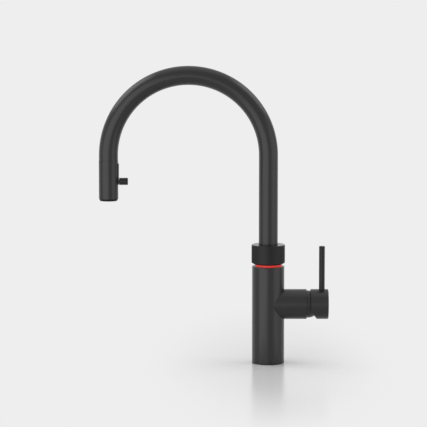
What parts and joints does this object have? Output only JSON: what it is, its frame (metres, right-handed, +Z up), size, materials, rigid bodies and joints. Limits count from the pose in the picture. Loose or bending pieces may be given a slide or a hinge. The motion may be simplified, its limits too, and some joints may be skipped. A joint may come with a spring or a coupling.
{
  "type": "boiling water tap",
  "caption": "Kitchen tap with an arched swivelling spout, pull-out spray head, push-and-turn boiling water knob over a light ring, and a side single-lever mixer.",
  "frame": {"origin": "centre of the column's foot, on the worktop's top face", "axes": "+Z up along the column, +X along the mixer's barrel; the spout's leg hangs at -X at rest and the user stands at -Y"},
  "size_m": [0.3158, 0.054, 0.4949],
  "materials": {
    "black_coat": "matt powder coat, very fine texture",
    "black_knurl": "matt powder coat over a fine diamond knurl",
    "rubber": "matt",
    "steel": "plain",
    "brass": "machined",
    "white_plastic": "natural acetal",
    "ceramic": "polished",
    "red_lens": "frosted, lit from below",
    "circuit_board": "solder mask",
    "blue_plastic": "moulded",
    "hose_cover": "braided sleeve",
    "silicone": "translucent",
    "dark_plastic": "moulded",
    "magnet": "nickel plated"
  },
  "bodies": {
    "tap_body": {"body_column": "black_coat", "base_gasket": "rubber", "mounting_shank": "brass", "rubber_washer": "rubber", "clamp_washer": "steel", "clamp_nut": "brass", "water_manifold": "brass", "knob_spigot": "brass", "lower_glide_ring": "white_plastic", "upper_glide_ring": "white_plastic", "thrust_washer": "white_plastic", "swivel_stop_screw": "steel", "light_board": "circuit_board", "light_ring": "red_lens", "spring_washer": "steel", "return_spring": "steel", "carrier_clip": "steel", "cartridge_body": "blue_plastic", "port_seals": "rubber", "fixed_disc": "ceramic", "cartridge_nut": "brass", "dome_cover": "black_coat"},
    "push_carrier": {"push_sleeve": "white_plastic"},
    "boil_knob": {"boil_knob": "black_knurl", "knob_clip": "steel", "knob_magnets": "magnet"},
    "spout": {"spout_tube": "black_coat", "spout_clip": "steel", "stop_lug": "brass", "boil_line": "silicone", "spray_hose": "hose_cover", "hose_coupling": "brass", "dock_block": "dark_plastic", "dock_magnets": "magnet"},
    "spray_head": {"head_shell": "black_coat", "head_body": "dark_plastic", "hose_connector": "brass", "check_valve": "white_plastic", "head_magnets": "magnet", "nozzle_rim": "dark_plastic", "spray_plate": "dark_plastic", "aerator_housing": "dark_plastic", "aerator_mesh": "steel", "selector_plate": "black_coat", "hose_tail": "hose_cover"},
    "selector": {"selector_pin": "black_coat", "selector_spool": "white_plastic"},
    "mixer_rotor": {"rotor": "white_plastic", "pivot_pin": "steel", "rotor_seal": "rubber"},
    "disc_carriage": {"moving_disc": "ceramic", "disc_driver": "blue_plastic"},
    "lever": {"stem": "brass", "mixer_cap": "black_coat", "lever_rod": "black_coat", "grub_screw": "steel", "screw_plug": "dark_plastic"}
  },
  "joints": [
    {"name": "knob_press", "type": "slide", "parent": "tap_body", "child": "push_carrier", "axis": [0, 0, -1], "range_m": [0, 0.0025], "stiffness_N_per_m": 800, "springref_m": -0.005, "deforming": ["return_spring"]},
    {"name": "knob_turn", "type": "hinge", "parent": "push_carrier", "child": "boil_knob", "pos_m": [0, 0, 0.15], "axis": [0, 0, 1], "range_deg": [0, 90]},
    {"name": "spout_swivel", "type": "hinge", "parent": "tap_body", "child": "spout", "pos_m": [0, 0, 0.12], "axis": [0, 0, 1], "range_deg": [-45, 225]},
    {"name": "head_pull", "type": "slide", "parent": "spout", "child": "spray_head", "axis": [0, 0, -1], "range_m": [0, 0.2], "stiffness_N_per_m": 10, "springref_m": -0.4, "deforming": ["hose_tail"]},
    {"name": "selector_slide", "type": "slide", "parent": "spray_head", "child": "selector", "axis": [0, 0, 1], "range_m": [0, 0.012]},
    {"name": "mixer_turn", "type": "hinge", "parent": "tap_body", "child": "mixer_rotor", "pos_m": [0.0529, 0, 0.082], "axis": [1, 0, 0], "range_deg": [-45, 45]},
    {"name": "lever_tilt", "type": "hinge", "parent": "mixer_rotor", "child": "lever", "pos_m": [0.0544, 0, 0.082], "axis": [0, 1, 0], "range_deg": [0, 25]},
    {"name": "disc_slide", "type": "slide", "parent": "mixer_rotor", "child": "disc_carriage", "axis": [0, 0, 1], "range_m": [0, 0.0055]}
  ],
  "couplings": [
    {"joint": "disc_slide", "follows": "lever_tilt", "m_per_rad": 0.0118}
  ]
}
